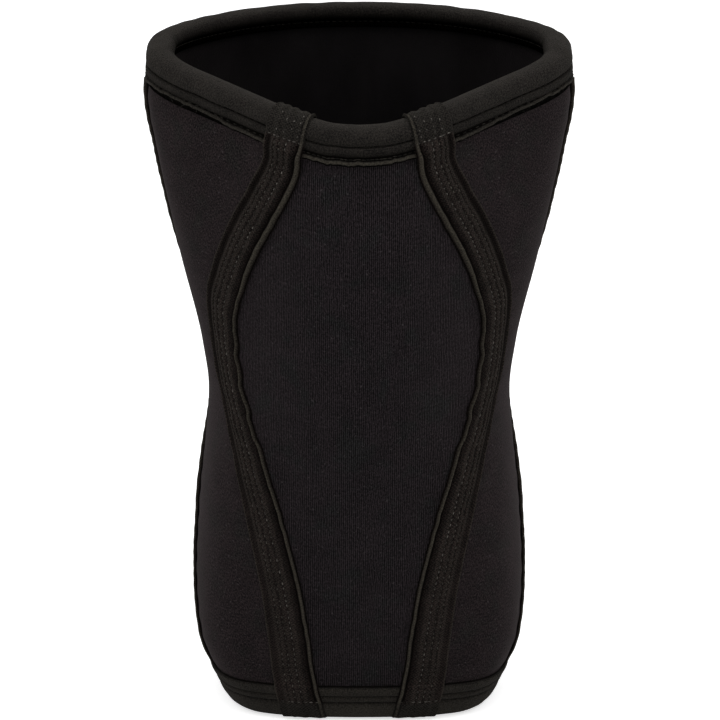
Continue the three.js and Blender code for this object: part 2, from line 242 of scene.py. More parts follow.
def lay_cloth(name, points, across, along, ring=False, ladder=None, mirrored=False):
    """Makes a mesh of a grid of points in millimetres, and raises any that lie below the floor up to it. Each
    row of the grid is a closed loop, and squares join each row to the next, and the last to the first on a
    ring. A ladder of squares fills each end of an open grid, from the loop's place where it starts. across
    and along are flat distances on the cloth in millimetres, with one more line than the points wherever the
    grid closes, and become the mesh's map."""
    rows, loop = points.shape[:2]
    j, i = np.meshgrid(np.arange(rows if ring else rows - 1), np.arange(loop), indexing="ij")
    corner = [(j, i), (j, i + 1), (j + 1, i + 1), (j + 1, i)]
    quads = np.stack([(a % rows) * loop + b % loop for a, b in corner], -1).reshape(-1, 4)
    flat = np.stack([np.stack([across[a, b], along[a, b]], -1) for a, b in corner], 2).reshape(-1, 4, 2)
    if ladder is not None:
        rung = np.arange(loop // 2 - 1)
        a, b, c, d = (np.floor(ladder + k).astype(int) % loop for k in (rung, rung + 1, -2 - rung, -1 - rung))
        end = np.stack([a, b, c, d], -1)
        last = (rows - 1) * loop
        quads = np.concatenate([quads, end[:, ::-1], last + end])
        flat = np.concatenate([flat, *(np.stack([across[k][v], along[k][v]], -1)
                                       for k, v in ((0, end[:, ::-1]), (rows - 1, end)))])
    place = points.reshape(-1, 3) * MM
    place[:, 2] = np.maximum(place[:, 2], 0)
    if mirrored:
        place = place * (-1, 1, 1)
    p = place[quads]
    inside_out = np.einsum("ni,ni->", p.mean(1), np.cross(p[:, 2] - p[:, 0], p[:, 3] - p[:, 1])) < 0
    if inside_out:
        quads, flat = quads[:, ::-1], flat[:, ::-1]
    mesh = bpy.data.meshes.new(name)
    mesh.from_pydata(place, [], quads)
    mesh.uv_layers.new(name="cloth").data.foreach_set("uv", flat.astype(np.float32).ravel())
    mesh.polygons.foreach_set("use_smooth", np.ones(len(quads), bool))
    mesh.update()
    return hang(name, mesh)


def mark(piece, name, amount):
    """Stores one number per place of a laid cloth, for its material."""
    piece.data.attributes.new(name, "FLOAT", "POINT").data.foreach_set("value", np.float32(amount).ravel())


def flat_distance(points):
    """Distances along each row of a grid's lines, summed step by step."""
    step = np.linalg.norm(np.diff(points, axis=0), axis=-1)
    return np.concatenate([np.zeros((1,) + step.shape[1:]), np.cumsum(step, axis=0)])


WALL_ROWS = 165
EDGE_STEPS = 6


def wall_loop():
    """The wall's upright section as outward and level: up the outer face, round over the thigh edge, down the
    inner face and round under the calf edge."""
    levels = np.linspace(EDGE_CENTRE, HEIGHT - EDGE_CENTRE, WALL_ROWS)
    angle = np.pi * np.arange(1, EDGE_STEPS) / EDGE_STEPS
    half = WALL / 2
    top = np.stack([-half + half * np.cos(angle), levels[-1] + half * np.sin(angle)], 1)
    under = np.stack([-half - half * np.cos(angle), levels[0] - half * np.sin(angle)], 1)
    outer = np.stack([0 * levels, levels], 1)
    inner = np.stack([0 * levels - WALL, levels[::-1]], 1)
    return np.concatenate([outer, top, inner, under])


PUCKER_HEIGHT = 0.16
PUCKER_PLACE = 9.0
PUCKER_REACH = 5.0
PUCKER_PITCH = 9.3
PUCKER_SLANT = 40.0


def panel(name, start, end, columns, mirrored):
    """A panel between two seams: each place of the wall's upright section is carried in even steps from one
    seam to the other. Beside a seam the cloth is drawn into short puckers, sine waves up the seam that are
    highest 9 mm from it and fade on a bell curve to both sides."""
    outward, level = wall_loop().T
    first = slide(start(level), level, np.full(level.shape, CLEARANCE / 2))
    last = slide(end(level), level, np.full(level.shape, -CLEARANCE / 2))
    share = np.linspace(0, 1, columns)[:, None]
    turn = first + (last - first) * share
    bare = sleeve_point(turn, level, 0)
    distance = flat_distance(bare)
    from_seam = np.minimum(distance, distance[-1] - distance)
    pucker = (PUCKER_HEIGHT * np.exp(-((from_seam - PUCKER_PLACE) / PUCKER_REACH) ** 2)
              * np.sin(2 * np.pi * level / PUCKER_PITCH + PUCKER_SLANT * turn))
    points = sleeve_point(turn, level, outward + give(turn, level) + pucker)
    across = distance - distance[-1] / 2
    along = level + 0 * turn
    close = lambda grid: np.concatenate([grid, grid[:, :1]], 1)
    under_middle = -(EDGE_STEPS - 1) / 2
    piece = lay_cloth(name, points, close(across), close(along), ladder=under_middle, mirrored=mirrored)
    mark(piece, "lining", (outward < -WALL / 2) + 0 * turn)
    return piece


def new_material(name):
    """An empty node material. Gives the material and a maker of its nodes, which sets a socket to a value or
    joins it to another node's socket."""
    material = bpy.data.materials.new(name)
    material.use_nodes = True
    tree = material.node_tree
    tree.nodes.clear()

    def node(kind, sockets=None, **settings):
        made = tree.nodes.new("ShaderNode" + kind)
        for key, value in settings.items():
            setattr(made, key, value)
        for key, value in (sockets or {}).items():
            if isinstance(value, bpy.types.NodeSocket):
                tree.links.new(value, made.inputs[key])
            else:
                made.inputs[key].default_value = value
        return made

    return material, node


def reckon(node, operation, first, second=0.0, third=0.0):
    """One step of arithmetic on numbers that vary over the surface."""
    return node("Math", {0: first, 1: second, 2: third}, operation=operation).outputs[0]


def noise(node, vector, scale, detail, roughness=0.5):
    """Cloudy unevenness between nought and one: the larger the scale the finer its clouds."""
    sockets = {"Vector": vector, "Scale": scale, "Detail": detail, "Roughness": roughness}
    return node("TexNoise", sockets).outputs[0]


def spread(node, value, low, high, start=0.0, end=1.0):
    """Stretches what lies between low and high over start to end, and holds the ends beyond them."""
    sockets = {"Value": value, "From Min": low, "From Max": high, "To Min": start, "To Max": end}
    return node("MapRange", sockets).outputs[0]


def stretch(node, vector, scale):
    """Scales a vector axis by axis, so that a pattern on it is drawn out along the smaller ones."""
    return node("Mapping", {"Vector": vector, "Scale": scale}).outputs[0]


def read_mark(node, name):
    """The number that mark stored on the cloth under this name."""
    return node("Attribute", attribute_name=name).outputs["Fac"]


def blend_colours(node, share, first, second):
    """Goes from the first colour to the second by the share."""
    mix = node("Mix", {0: share}, data_type="RGBA")
    for socket, value in ((6, first), (7, second)):
        if isinstance(value, bpy.types.NodeSocket):
            mix.id_data.links.new(value, mix.inputs[socket])
        else:
            mix.inputs[socket].default_value = (*value, 1)
    return mix.outputs[2]


CLOTH_SHINE = 0.12


def finish_cloth(node, colour, height, depth, roughness, sheen, sheen_roughness, sheen_tint, shadow=None):
    """A matt cloth surface with a soft nap: colour, bump of a depth in metres, and sheen. Sheen and shine
    both fade to nothing where the painted shadow mark is one, so the painted shade stays black."""
    shine = CLOTH_SHINE
    if shadow is not None:
        shine, sheen = (reckon(node, "MULTIPLY_ADD", shadow, -full, full) for full in (shine, sheen))
    bump = node("Bump", {"Strength": 1.0, "Distance": depth, "Height": height})
    surface = node("BsdfPrincipled", {
        "Base Color": colour, "Roughness": roughness, "Specular IOR Level": shine, "Sheen Weight": sheen,
        "Sheen Roughness": sheen_roughness, "Sheen Tint": (*sheen_tint, 1), "Normal": bump.outputs[0]})
    node("OutputMaterial", {"Surface": surface.outputs[0]})


RIB_PITCH = 0.76
RIB_WAVER = 0.7
KNIT_BLACK = (0.0004, 0.0003, 0.0004)
KNIT_FIBRE = (0.060, 0.052, 0.054)
KNIT_SHEEN = (1.0, 0.80, 0.82)
LINING_DEEP = (0.0009, 0.0005, 0.0007)
LINING_PALE = (0.0040, 0.0033, 0.0036)
RIBBED = {
    "grain_scale": 1.1, "rib_tone": 0.70, "grain_tone": 0.60, "base_tone": -0.57, "rib_height": 0.8,
    "depth": 0.00018, "sheen": 0.035, "violet": (0.0375, 0.0285, 0.0325), "green": (0.0275, 0.0300, 0.0295),
}
SMOOTH = {
    "grain_scale": 1.5, "rib_tone": 0.10, "grain_tone": 0.80, "base_tone": -0.36, "rib_height": 0.15,
    "depth": 0.00007, "sheen": 0.045, "violet": (0.0410, 0.0290, 0.0305), "green": (0.0320, 0.0300, 0.0275),
}


def panel_cloth(name, knit):
    """Black jersey over foam rubber. Ribs are cosine waves across the cloth, each a little off its line. Both
    cloths have a grain of yarn, soft blotches that lean to violet or to green, and a few pale fibres, and the
    inner face has a plain dark lining with soft patches."""
    material, node = new_material(name)
    cloth = node("UVMap", uv_map="cloth").outputs[0]
    place = node("TexCoord").outputs["Object"]
    grain = noise(node, stretch(node, cloth, (1.25, 0.8, 1)), knit["grain_scale"], 1.5, 0.8)
    grain = spread(node, grain, 0.33, 0.67)
    speck = spread(node, noise(node, cloth, 0.8, 1.0), 0.66, 0.78)
    blotch = noise(node, place, 110.0, 3.0, 0.6)
    lean = spread(node, noise(node, place, 70.0, 3.0, 0.7), 0.52, 0.64, end=0.7)
    patch = spread(node, noise(node, stretch(node, place, (1, 1, 0.45)), 34.0, 4.0, 0.6), 0.40, 0.62)
    across = node("SeparateXYZ", {0: cloth}).outputs[0]
    waver = noise(node, stretch(node, cloth, (1, 0.3, 1)), 0.6, 1.0)
    bent = reckon(node, "MULTIPLY_ADD", waver, RIB_WAVER, across)
    rib = reckon(node, "COSINE", reckon(node, "MULTIPLY", bent, 2 * math.pi / RIB_PITCH))
    rib = reckon(node, "MULTIPLY_ADD", rib, 0.5, 0.5)
    tone = reckon(node, "MULTIPLY_ADD", grain, knit["grain_tone"], knit["base_tone"])
    tone = reckon(node, "MULTIPLY_ADD", rib, knit["rib_tone"], tone)
    tone = reckon(node, "MULTIPLY_ADD", blotch, 0.4, tone)
    colour = blend_colours(node, lean, knit["violet"], knit["green"])
    colour = blend_colours(node, tone, KNIT_BLACK, colour)
    colour = blend_colours(node, reckon(node, "MULTIPLY", speck, 0.6), colour, KNIT_FIBRE)
    lining = blend_colours(node, patch, LINING_DEEP, LINING_PALE)
    colour = blend_colours(node, read_mark(node, "lining"), colour, lining)
    height = reckon(node, "MULTIPLY_ADD", rib, knit["rib_height"], grain)
    finish_cloth(node, colour, height, knit["depth"], 0.9, knit["sheen"], 0.5, KNIT_SHEEN)
    return material


FRONT_COLUMNS = 84
SIDE_COLUMNS = 70
REAR_COLUMNS = 130

ribbed_knit = panel_cloth("ribbed_knit", RIBBED)
smooth_knit = panel_cloth("smooth_knit", SMOOTH)

panels = [
    ("front_panel", left_front_seam, front_seam, FRONT_COLUMNS, False, "ribbed_cloth", ribbed_knit),
    ("side_panel_right", front_seam, rear_seam, SIDE_COLUMNS, False, "smooth_cloth", smooth_knit),
    ("side_panel_left", front_seam, rear_seam, SIDE_COLUMNS, True, "smooth_cloth", smooth_knit),
    ("rear_panel", rear_seam, left_rear_seam, REAR_COLUMNS, False, "smooth_cloth", smooth_knit),
]
for solid, start, end, columns, mirrored, finish, knit in panels:
    piece = panel(f"{solid}_padded", start, end, columns, mirrored)
    piece.data.materials.append(knit)
    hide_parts(solid)

# The bindings. A strip of soft stretch cloth is rolled over each raw edge, and two lines of stitches hold it.
# The roll stays plump, the strip between the stitches is flat, and its own edge stands off as a thin lip. Its
# outer line is given as outward and distance from the edge, and its tones go by that distance: painted
# shadow, black in the stitch grooves, under the lip and on the thin edge beyond it, and how rubbed it is.
THIGH_PROFILE = np.array([
    (0.26, 14.2), (0.36, 13.9), (0.40, 13.6), (0.95, 13.5), (1.50, 13.15), (1.55, 12.7), (1.20, 12.25),
    (0.60, 12.0), (0.40, 11.7), (0.40, 11.1), (0.60, 10.6), (1.15, 10.0), (1.60, 9.1), (1.80, 8.2),
    (1.65, 7.5), (1.10, 7.1), (0.42, 6.8), (0.95, 6.45), (1.75, 5.7), (2.05, 4.4), (1.70, 2.7), (0.60, 1.0),
    (-1.20, 0.05), (-3.50, -0.3), (-5.80, 0.05), (-7.60, 1.0), (-8.70, 2.7), (-9.00, 4.2), (-8.60, 5.4),
    (-7.90, 6.05), (-7.65, 6.3), (-8.00, 6.7), (-8.65, 7.4), (-8.60, 8.2), (-8.10, 8.6), (-7.45, 8.4)])
THIGH_TONES = {
    "below": [0.0, 6.3, 6.6, 6.9, 7.2, 9.3, 10.2, 10.8, 11.9, 12.2, 12.5, 13.2, 13.5, 13.7, 14.6],
    "shadow": [0, 0, .7, .7, .08, .22, .50, .85, .85, .3, 0, 0, .3, .9, .8],
    "rubbed": [0, 0, 0, 0, 0, 0, 0, 0, 0, .3, .8, .8, 0, 0, 0],
}
CALF_PROFILE = np.array([
    (0.26, 16.3), (0.36, 16.0), (0.40, 15.6), (0.95, 15.45), (1.50, 15.1), (1.80, 14.3), (1.80, 13.2),
    (1.65, 12.2), (1.25, 11.7), (0.80, 11.4), (1.20, 11.1), (1.65, 10.6), (1.80, 10.0), (1.65, 9.3),
    (1.25, 8.9), (0.80, 8.6), (1.20, 8.3), (1.75, 7.5), (1.98, 6.2), (1.75, 4.0), (0.95, 2.0), (-0.60, 0.55),
    (-2.20, 0.08), (-3.50, 0.04), (-4.80, 0.08), (-6.40, 0.55), (-7.95, 2.0), (-8.60, 4.0), (-8.70, 5.4),
    (-8.20, 6.1), (-7.95, 6.5), (-8.20, 6.9), (-8.60, 7.6), (-8.20, 8.4), (-7.45, 8.4)])
CALF_TONES = {
    "below": [0.0, 8.3, 8.6, 8.9, 11.1, 11.4, 11.7, 15.0, 15.45, 15.7, 16.6],
    "shadow": [0, 0, .6, 0, 0, .5, 0, 0, .3, .8, .7],
    "rubbed": [.7, .15, 0, .2, .2, 0, .15, .25, 0, 0, 0],
}
RIMS = {
    "thigh": {"profile": THIGH_PROFILE, "tones": THIGH_TONES, "edge": HEIGHT, "up": 1, "uneven": 1.0,
              "seed": 11},
    "calf": {"profile": CALF_PROFILE, "tones": CALF_TONES, "edge": 0.0, "up": -1, "uneven": 0.0, "seed": 23},
}
RING_COLUMNS = 600
PROFILE_POINTS = 118
CURVE_STEPS = 12
HOLLOW_POINTS = 9
HOLLOW_START = 7.9
MAP_LINE = 20

# Height, length of a wave in millimetres and shift of the seed.
RIPPLES = {
    "lip_out": (0.10, 6.0, 0),
    "roll_out": (0.10, 16.0, 1),
    "lip_fine": (0.13, 5.0, 2),
    "lip_long": (0.18, 17.0, 3),
    "roll_long": (0.10, 19.0, 3),
}
RIM_ROUND = 500.0
INNER_SIDE = -3.0
LIP_ZONE = (10.4, 12.4)
ROLL_PLACE = 3.5
ROLL_REACH = 4.0
CORNER_ZONE = (0.09, 0.25)
CORNER_LIFT = 1.7
# Where the painted shade on a binding's inner side begins and where it is full, outward and from the edge.
INNER_SHADE_OUTWARD = (-5.0, -7.5)
INNER_SHADE_BELOW = (-0.5, 5.0)
RUBBED_TURNS = (0.07, 0.11)


def smooth_line(corners, count):
    """A smooth line through corner points, as count points at even distances: a cubic between each two
    corners whose slope at a corner is half the way between its neighbours."""
    padded = np.concatenate([2 * corners[:1] - corners[1:2], corners, 2 * corners[-1:] - corners[-2:-1]])
    t = np.linspace(0, 1, CURVE_STEPS, endpoint=False)[None, :, None]
    p, q, r, s = (padded[k:len(padded) - 3 + k, None] for k in range(4))
    bend = (2 * p - 5 * q + 4 * r - s) * t ** 2 + (3 * q - p - 3 * r + s) * t ** 3
    curve = 0.5 * (2 * q + (r - p) * t + bend)
    curve = np.concatenate([curve.reshape(-1, corners.shape[1]), corners[-1:]])
    run = flat_distance(curve)
    at = np.linspace(0, run[-1], count)
    return np.stack([np.interp(at, run, column) for column in curve.T], 1)


def ripple(turn, kind, seed):
    """An uneven wave round a rim that closes on itself: four sines near the kind's length, with seeded
    phases, each with a whole number of waves in one turn."""
    height, length, shift = RIPPLES[kind]
    draw = np.random.default_rng(seed + shift)
    waves = np.round(RIM_ROUND / length * np.array([0.7, 0.93, 1.24, 1.6]))
    return height * sum(np.sin(2 * np.pi * (n * turn + draw.random())) for n in waves) / 2


def binding_point(rim, place, turn):
    """Places on a rim's binding at a turn, each given as outward and distance from the edge. Ripples draw an
    uneven rim's lip in and out and up and down, and leave its roll a little uneven, and the lip is drawn
    nearer the edge on the bell of a squared sine between the front and the side."""
    outward, below = place[..., 0], place[..., 1]
    seed, uneven = rim["seed"], rim["uneven"]
    outside = outward > INNER_SIDE
    lip = ramp(below, *LIP_ZONE) * outside * uneven
    roll = ramp(np.abs(below - ROLL_PLACE), ROLL_REACH, 0)
    corner = np.sin(np.pi * ramp(from_front(turn), *CORNER_ZONE)) ** 2
    outward = outward + lip * ripple(turn, "lip_out", seed) + roll * ripple(turn, "roll_out", seed)
    drawn = ripple(turn, "lip_fine", seed) + ripple(turn, "lip_long", seed) - CORNER_LIFT * corner
    below = below + lip * drawn
    below = below + (1 - lip) * outside * uneven * ripple(turn, "roll_long", seed)
    return sleeve_point(turn, rim["edge"] - rim["up"] * below, outward)


def binding(name, rim):
    """A binding: its outer profile and a plain inner line that clears the wall, closed into one loop and
    carried round the sleeve. Marks give its painted shadow and how rubbed it is, both read from its tones on
    the outside. The inner side has painted shade, darker the deeper it lies, and the cloth is most rubbed at
    the front."""
    profile, tones, edge, up = rim["profile"], rim["tones"], rim["edge"], rim["up"]
    outer = smooth_line(profile, PROFILE_POINTS)
    half = WALL / 2 + CLEARANCE
    angle = np.linspace(0, np.pi, HOLLOW_POINTS)
    hollow = np.stack([-WALL / 2 - half * np.cos(angle), EDGE_CENTRE - half * np.sin(angle)], 1)
    under_lip = profile[0, 1] - CLEARANCE
    inner = np.concatenate([[[-WALL - CLEARANCE, HOLLOW_START]], hollow, [[CLEARANCE, under_lip]]])
    loop = np.concatenate([outer, inner])
    turn = np.arange(RING_COLUMNS)[:, None] / RING_COLUMNS
    points = binding_point(rim, loop[None], turn)
    points[:, len(outer):] = sleeve_point(turn, edge - up * inner[None, :, 1], inner[None, :, 0])
    closed = np.concatenate([points, points[:1]])
    closed = np.concatenate([closed, closed[:, :1]], 1)
    across = flat_distance(closed.transpose(1, 0, 2)).T
    along = np.repeat(flat_distance(closed[:, MAP_LINE:MAP_LINE + 1]), closed.shape[1], 1)
    piece = lay_cloth(name, points, across, along, ring=True)
    outward, below = loop.T
    # Painted shade on the inner side, darker the deeper it lies in the sleeve.
    painted_inner_shade = ramp(outward, *INNER_SHADE_OUTWARD) * ramp(below, *INNER_SHADE_BELOW)
    shadow = np.where(outward < INNER_SIDE, painted_inner_shade, read_table(tones, "shadow", below, key="below"))
    rubbed = np.where(outward < INNER_SIDE, 0, read_table(tones, "rubbed", below, key="below"))
    mark(piece, "shadow", shadow + 0 * turn)
    mark(piece, "rubbed", rubbed * (1 - 0.6 * ramp(from_front(turn), *RUBBED_TURNS)))
    return piece


RUBBED_MOST = 0.85
RUBBED_DEEP = (0.013, 0.0112, 0.0085)
RUBBED_PALE = (0.078, 0.069, 0.053)
SHADOW_BLACK = (0.0005, 0.0004, 0.0003)
BINDING_DEEP = (0.0014, 0.0012, 0.0010)
BINDING_PALE = (0.0265, 0.0228, 0.0196)
BINDING_SHEEN = (0.9, 0.82, 0.72)
NAP_DEPTH = 0.00024


# Paints shade: the shadow mark turns the cloth black where shade falls in grooves and under lips.
def rubbed_and_painted_shade(node, colour, grain):
    """Pales a cloth by its rubbed mark where the grain stands up, and paints shade on it by its shadow mark,
    darkening it to black. Gives the colour and the painted shadow."""
    pale = reckon(node, "MULTIPLY", read_mark(node, "rubbed"), RUBBED_MOST)
    colour = blend_colours(node, pale, colour, blend_colours(node, grain, RUBBED_DEEP, RUBBED_PALE))
    shadow = read_mark(node, "shadow")
    return blend_colours(node, shadow, colour, SHADOW_BLACK), shadow


def binding_cloth_finish():
    """Soft black stretch cloth with a short brushed nap: grain of half a millimetre, soft blotches, paler
    where it is rubbed, and painted black as shade in its grooves, under its lip and deep on its inner side."""
    material, node = new_material("brushed_binding")
    cloth = node("UVMap", uv_map="cloth").outputs[0]
    place = node("TexCoord").outputs["Object"]
    grain = spread(node, noise(node, cloth, 1.5, 2.5, 0.85), 0.33, 0.67)
    tone = reckon(node, "MULTIPLY_ADD", noise(node, place, 150.0, 3.0), 0.8, -0.72)
    tone = reckon(node, "MULTIPLY_ADD", grain, 1.50, tone)
    colour, shadow = rubbed_and_painted_shade(node, blend_colours(node, tone, BINDING_DEEP, BINDING_PALE), grain)
    finish_cloth(node, colour, grain, NAP_DEPTH, 0.95, 0.06, 0.5, BINDING_SHEEN, shadow)
    return material


binding_cloth = binding_cloth_finish()
bindings = [
    ("top_binding", "thigh", (0.0295, 0.47)),
    ("bottom_binding", "calf", (0.031, 0.34)),
]
for solid, rim, cut in bindings:
    piece = binding(f"{solid}_cloth", RIMS[rim])
    piece.data.materials.append(binding_cloth)
    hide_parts(solid)

# The seam tapes. A woven tape 16 mm wide covers each seam, at the front from the hem to the inside of the rim
# and at the rear from binding to binding. Rows of stitches hold it flat along its middle, its outer edge
# lies thin in a groove, and its inner edge is turned under into a thick lip.
TAPE_WIDTH = 16.0
FRONT_TAPE_PATH = np.array([
    (1.05, 1.32), (1.95, 3.2), (2.2, 4.755), (2.2, 6.8), (2.15, 9.5), (2.15, 12.6), (2.0, 14.6), (1.3, 16.2),
    (0.6, 17.8), (0.35, 19.6), (0.3, 24.0), (0.3, 60.0), (0.3, 100.0), (0.3, 140.0), (0.3, 180.0),
    (0.3, 220.0), (0.3, 248.0), (0.4, 251.5), (0.9, 253.6), (1.6, 255.2), (2.1, 256.8), (2.15, 259.0),
    (2.0, 262.0), (2.2, 264.0), (2.15, 265.8), (1.6, 268.0), (0.2, 269.8), (-1.6, 270.75), (-3.5, 271.0),
    (-5.5, 270.7), (-7.2, 269.7), (-8.6, 268.0), (-9.2, 265.6), (-9.2, 263.5), (-9.0, 261.6)])
REAR_TAPE_PATH = np.array([(0.3, 15.7), (0.3, 60.0), (0.3, 130.0), (0.3, 200.0), (0.3, 256.7)])

# Across the face: the share of its points, the share of the tape's width where they lie, the same where the
# lip is narrow at the knee, their height in millimetres, how much painted shade they have and how rubbed they
# are. The painted shade is black in the grooves and on the low strip past the lip, in place of the lip's
# shadow.
TAPE_RELIEF = {
    "share": [0, .02, .04, .06, .09, .12, .15, .18, .22, .26, .29, .32, .38, .42, .46, .52, .555, .59, .64,
              .68, .71, .74, .77, .79, .81, .83, .85, .87, .885, .90, .93, .965, 1],
    "place": [0, .015, .035, .05, .08, .12, .16, .20, .235, .27, .30, .33, .39, .44, .49, .55, .60, .645, .70,
              .735, .77, .81, .85, .87, .89, .915, .945, .975, .995, 1, 1.01, 1.02, 1.035],
    "knee": [0, .015, .035, .05, .08, .12, .16, .20, .235, .27, .30, .33, .39, .44, .49, .55, .60, .65, .72,
             .78, .83, .875, .90, .915, .93, .95, .97, .985, .997, 1, 1.01, 1.02, 1.035],
    "rise": [.25, .60, .55, .25, .18, .18, .25, .55, .95, 1.0, .70, 1.0, 1.15, .80, 1.15, 1.10, .68, 1.10,
             1.10, .80, .65, .30, .25, .60, 1.20, 1.65, 1.70, 1.40, .80, .28, .14, .13, .10],
    "shadow": [0, 0, 0, .3, .62, .70, .60, .30, 0, 0, .45, 0, 0, .45, 0, 0, .35, 0, 0, .40, .40, .7, .85, .75,
               .3, 0, 0, 0, .25, .7, .75, .75, .5],
    "rubbed": [.2, .4, .2, 0, 0, 0, 0, 0, .1, .1, 0, .1, .1, 0, .1, .1, 0, .1, .1, 0, 0, 0, 0, 0, .4, 1, 1,
               .8, .4, 0, 0, 0, 0],
}
TAPE_STATIONS = 330
TAPE_COLUMNS = 84
TAPE_UNDER_POINTS = 12
TAPE_UNDER_SHARE = 0.93
LEVEL_STEP = 1.0
KNEE_LEVEL = 140.0
KNEE_REACH = 28.0
NARROW_BELOW = (208, 186)
NARROW_ABOVE = (255, 259)
SCALLOP_START = 0.70
SCALLOP_FULL = 0.76
LIP_RISES = (0.78, 0.81)
LIP_FALLS = (0.90, 0.88)
LIP_FOLD = (0.81, 0.88)
FLAT_END = 0.8
OUTER_SIDE = -2.0
BINDING_STITCH_LEVELS = (8.8, 261.6)
GROOVE_DEPTH = 0.40
GROOVE_REACH = 0.5
WRAP_RIM = (260.8, 262.2)
WRAP_HEM = (9.2, 7.8)
LOWER_LEVELS = (110, 50)
FAINT_LEVELS = (150, 80)
RIDGE_PITCH = 3.1
THINNEST = 0.10


def tape_run(corners):
    """The line that a tape's underside follows, as outward, level and the direction square to it."""
    line = smooth_line(corners, TAPE_STATIONS)
    tangent = np.gradient(line, axis=0)
    tangent /= np.linalg.norm(tangent, axis=1)[:, None]
    return line, np.stack([tangent[:, 1], -tangent[:, 0]], 1)


def lip_wave(level, scallop):
    """How far a tape's lip wanders across: scallops, each half a sine wave of uneven length, with a finer
    sine wave on them. Both are largest at the knee and fall off up and down on a bell curve."""
    knee = np.exp(-((level - KNEE_LEVEL) / KNEE_REACH) ** 2)
    scallops = np.abs(np.sin(level / 5.1 + 0.8 * np.sin(level / 13.0))) * 1.6 - 1
    ruffles = 0.4 * np.sin(level / 1.7 + 2 * np.sin(level / 7.0))
    return scallop * ((0.15 + knee) * scallops + (0.3 + knee) * ruffles)


def tape_point(seam, line, square, share, rise, scallop):
    """Places on a tape: share 0 is its outer edge and 1 its inner lip, and rise is the height over its
    underside. A tape is cut level, so where the seam slopes it is wider along the level by the seam's slant.
    Where each share lies across is read from the relief, which has a narrower lip below the thigh and at the
    rim. The lip wanders in and out in scallops."""
    outward, level = line[:, 0][:, None], line[:, 1][:, None]
    low = np.clip(level - LEVEL_STEP, 0, HEIGHT - 2 * LEVEL_STEP)
    high = np.clip(level + LEVEL_STEP, 2 * LEVEL_STEP, HEIGHT)
    run = sleeve_point(seam(high), high, 0) - sleeve_point(seam(low), low, 0)
    slant = np.linalg.norm(run, axis=-1) / np.abs(run[..., 2])
    place, narrow = (read_table(TAPE_RELIEF, column, share, key="share") for column in ("place", "knee"))
    narrowed = np.maximum(ramp(level, *NARROW_BELOW), ramp(level, *NARROW_ABOVE))
    place = place + (narrow - place) * narrowed
    from_middle = (place - 0.5) * TAPE_WIDTH
    from_middle = from_middle + lip_wave(level, scallop) * ramp(share, SCALLOP_START, SCALLOP_FULL)
    turn = slide(seam(np.clip(level, 0, HEIGHT)) + 0 * place, level + 0 * place, -from_middle * slant)
    return sleeve_point(turn, level + square[:, 1][:, None] * rise,
                        outward + square[:, 0][:, None] * rise + give(turn, level))


def wrapped(line):
    """How far a tape has turned from tape to binding cloth: one over the roll at the rim and at the hem."""
    level = line[:, 1][:, None]
    return ramp(level, *WRAP_RIM) + ramp(level, *WRAP_HEM)


def tape_rise(line, share):
    """The height of a tape's face: its relief across, a small twist along the lip, lower towards the hem, and
    a cross groove where the binding's stitches run over it at the rim and the hem. Where it is wrapped in
    binding cloth it is flat instead, with low ridges along and across it."""
    level = line[:, 1][:, None]
    rise = read_table(TAPE_RELIEF, "rise", share, key="share") + 0 * level
    lip = ramp(share, *LIP_RISES) * ramp(share, *LIP_FALLS)
    twist = 0.08 * np.sin(level / 0.85 + 3 * np.sin(level / 9.0)) + 0.06 * np.sin(level / 3.1)
    lower = 1 - 0.35 * ramp(level, *LOWER_LEVELS)
    crossed = 1 + 0.15 * np.sin(level / 2.1 + 9 * share) * (share < FLAT_END)
    rise = (rise + lip * twist) * lower * crossed
    run = flat_distance(line)[:, None]
    ridges = 0.12 * np.sin(2 * np.pi * run / RIDGE_PITCH)
    ridges = ridges + 0.25 * np.sin(2 * np.pi * (share * 4.4 + 0.03 * run))
    thinned = np.clip(share / 0.03, 0.3, 1) * (1 - 0.8 * ramp(share, 0.89, 0.91))
    rise = rise + ((0.55 + ridges + 0.2 * lip) * thinned - rise) * wrapped(line)
    outside = line[:, 0][:, None] > OUTER_SIDE
    for groove in BINDING_STITCH_LEVELS:
        dent = np.exp(-((level - groove) / GROOVE_REACH) ** 2)
        rise = rise - GROOVE_DEPTH * (share < FLAT_END) * dent * outside
    return np.maximum(rise, THINNEST)


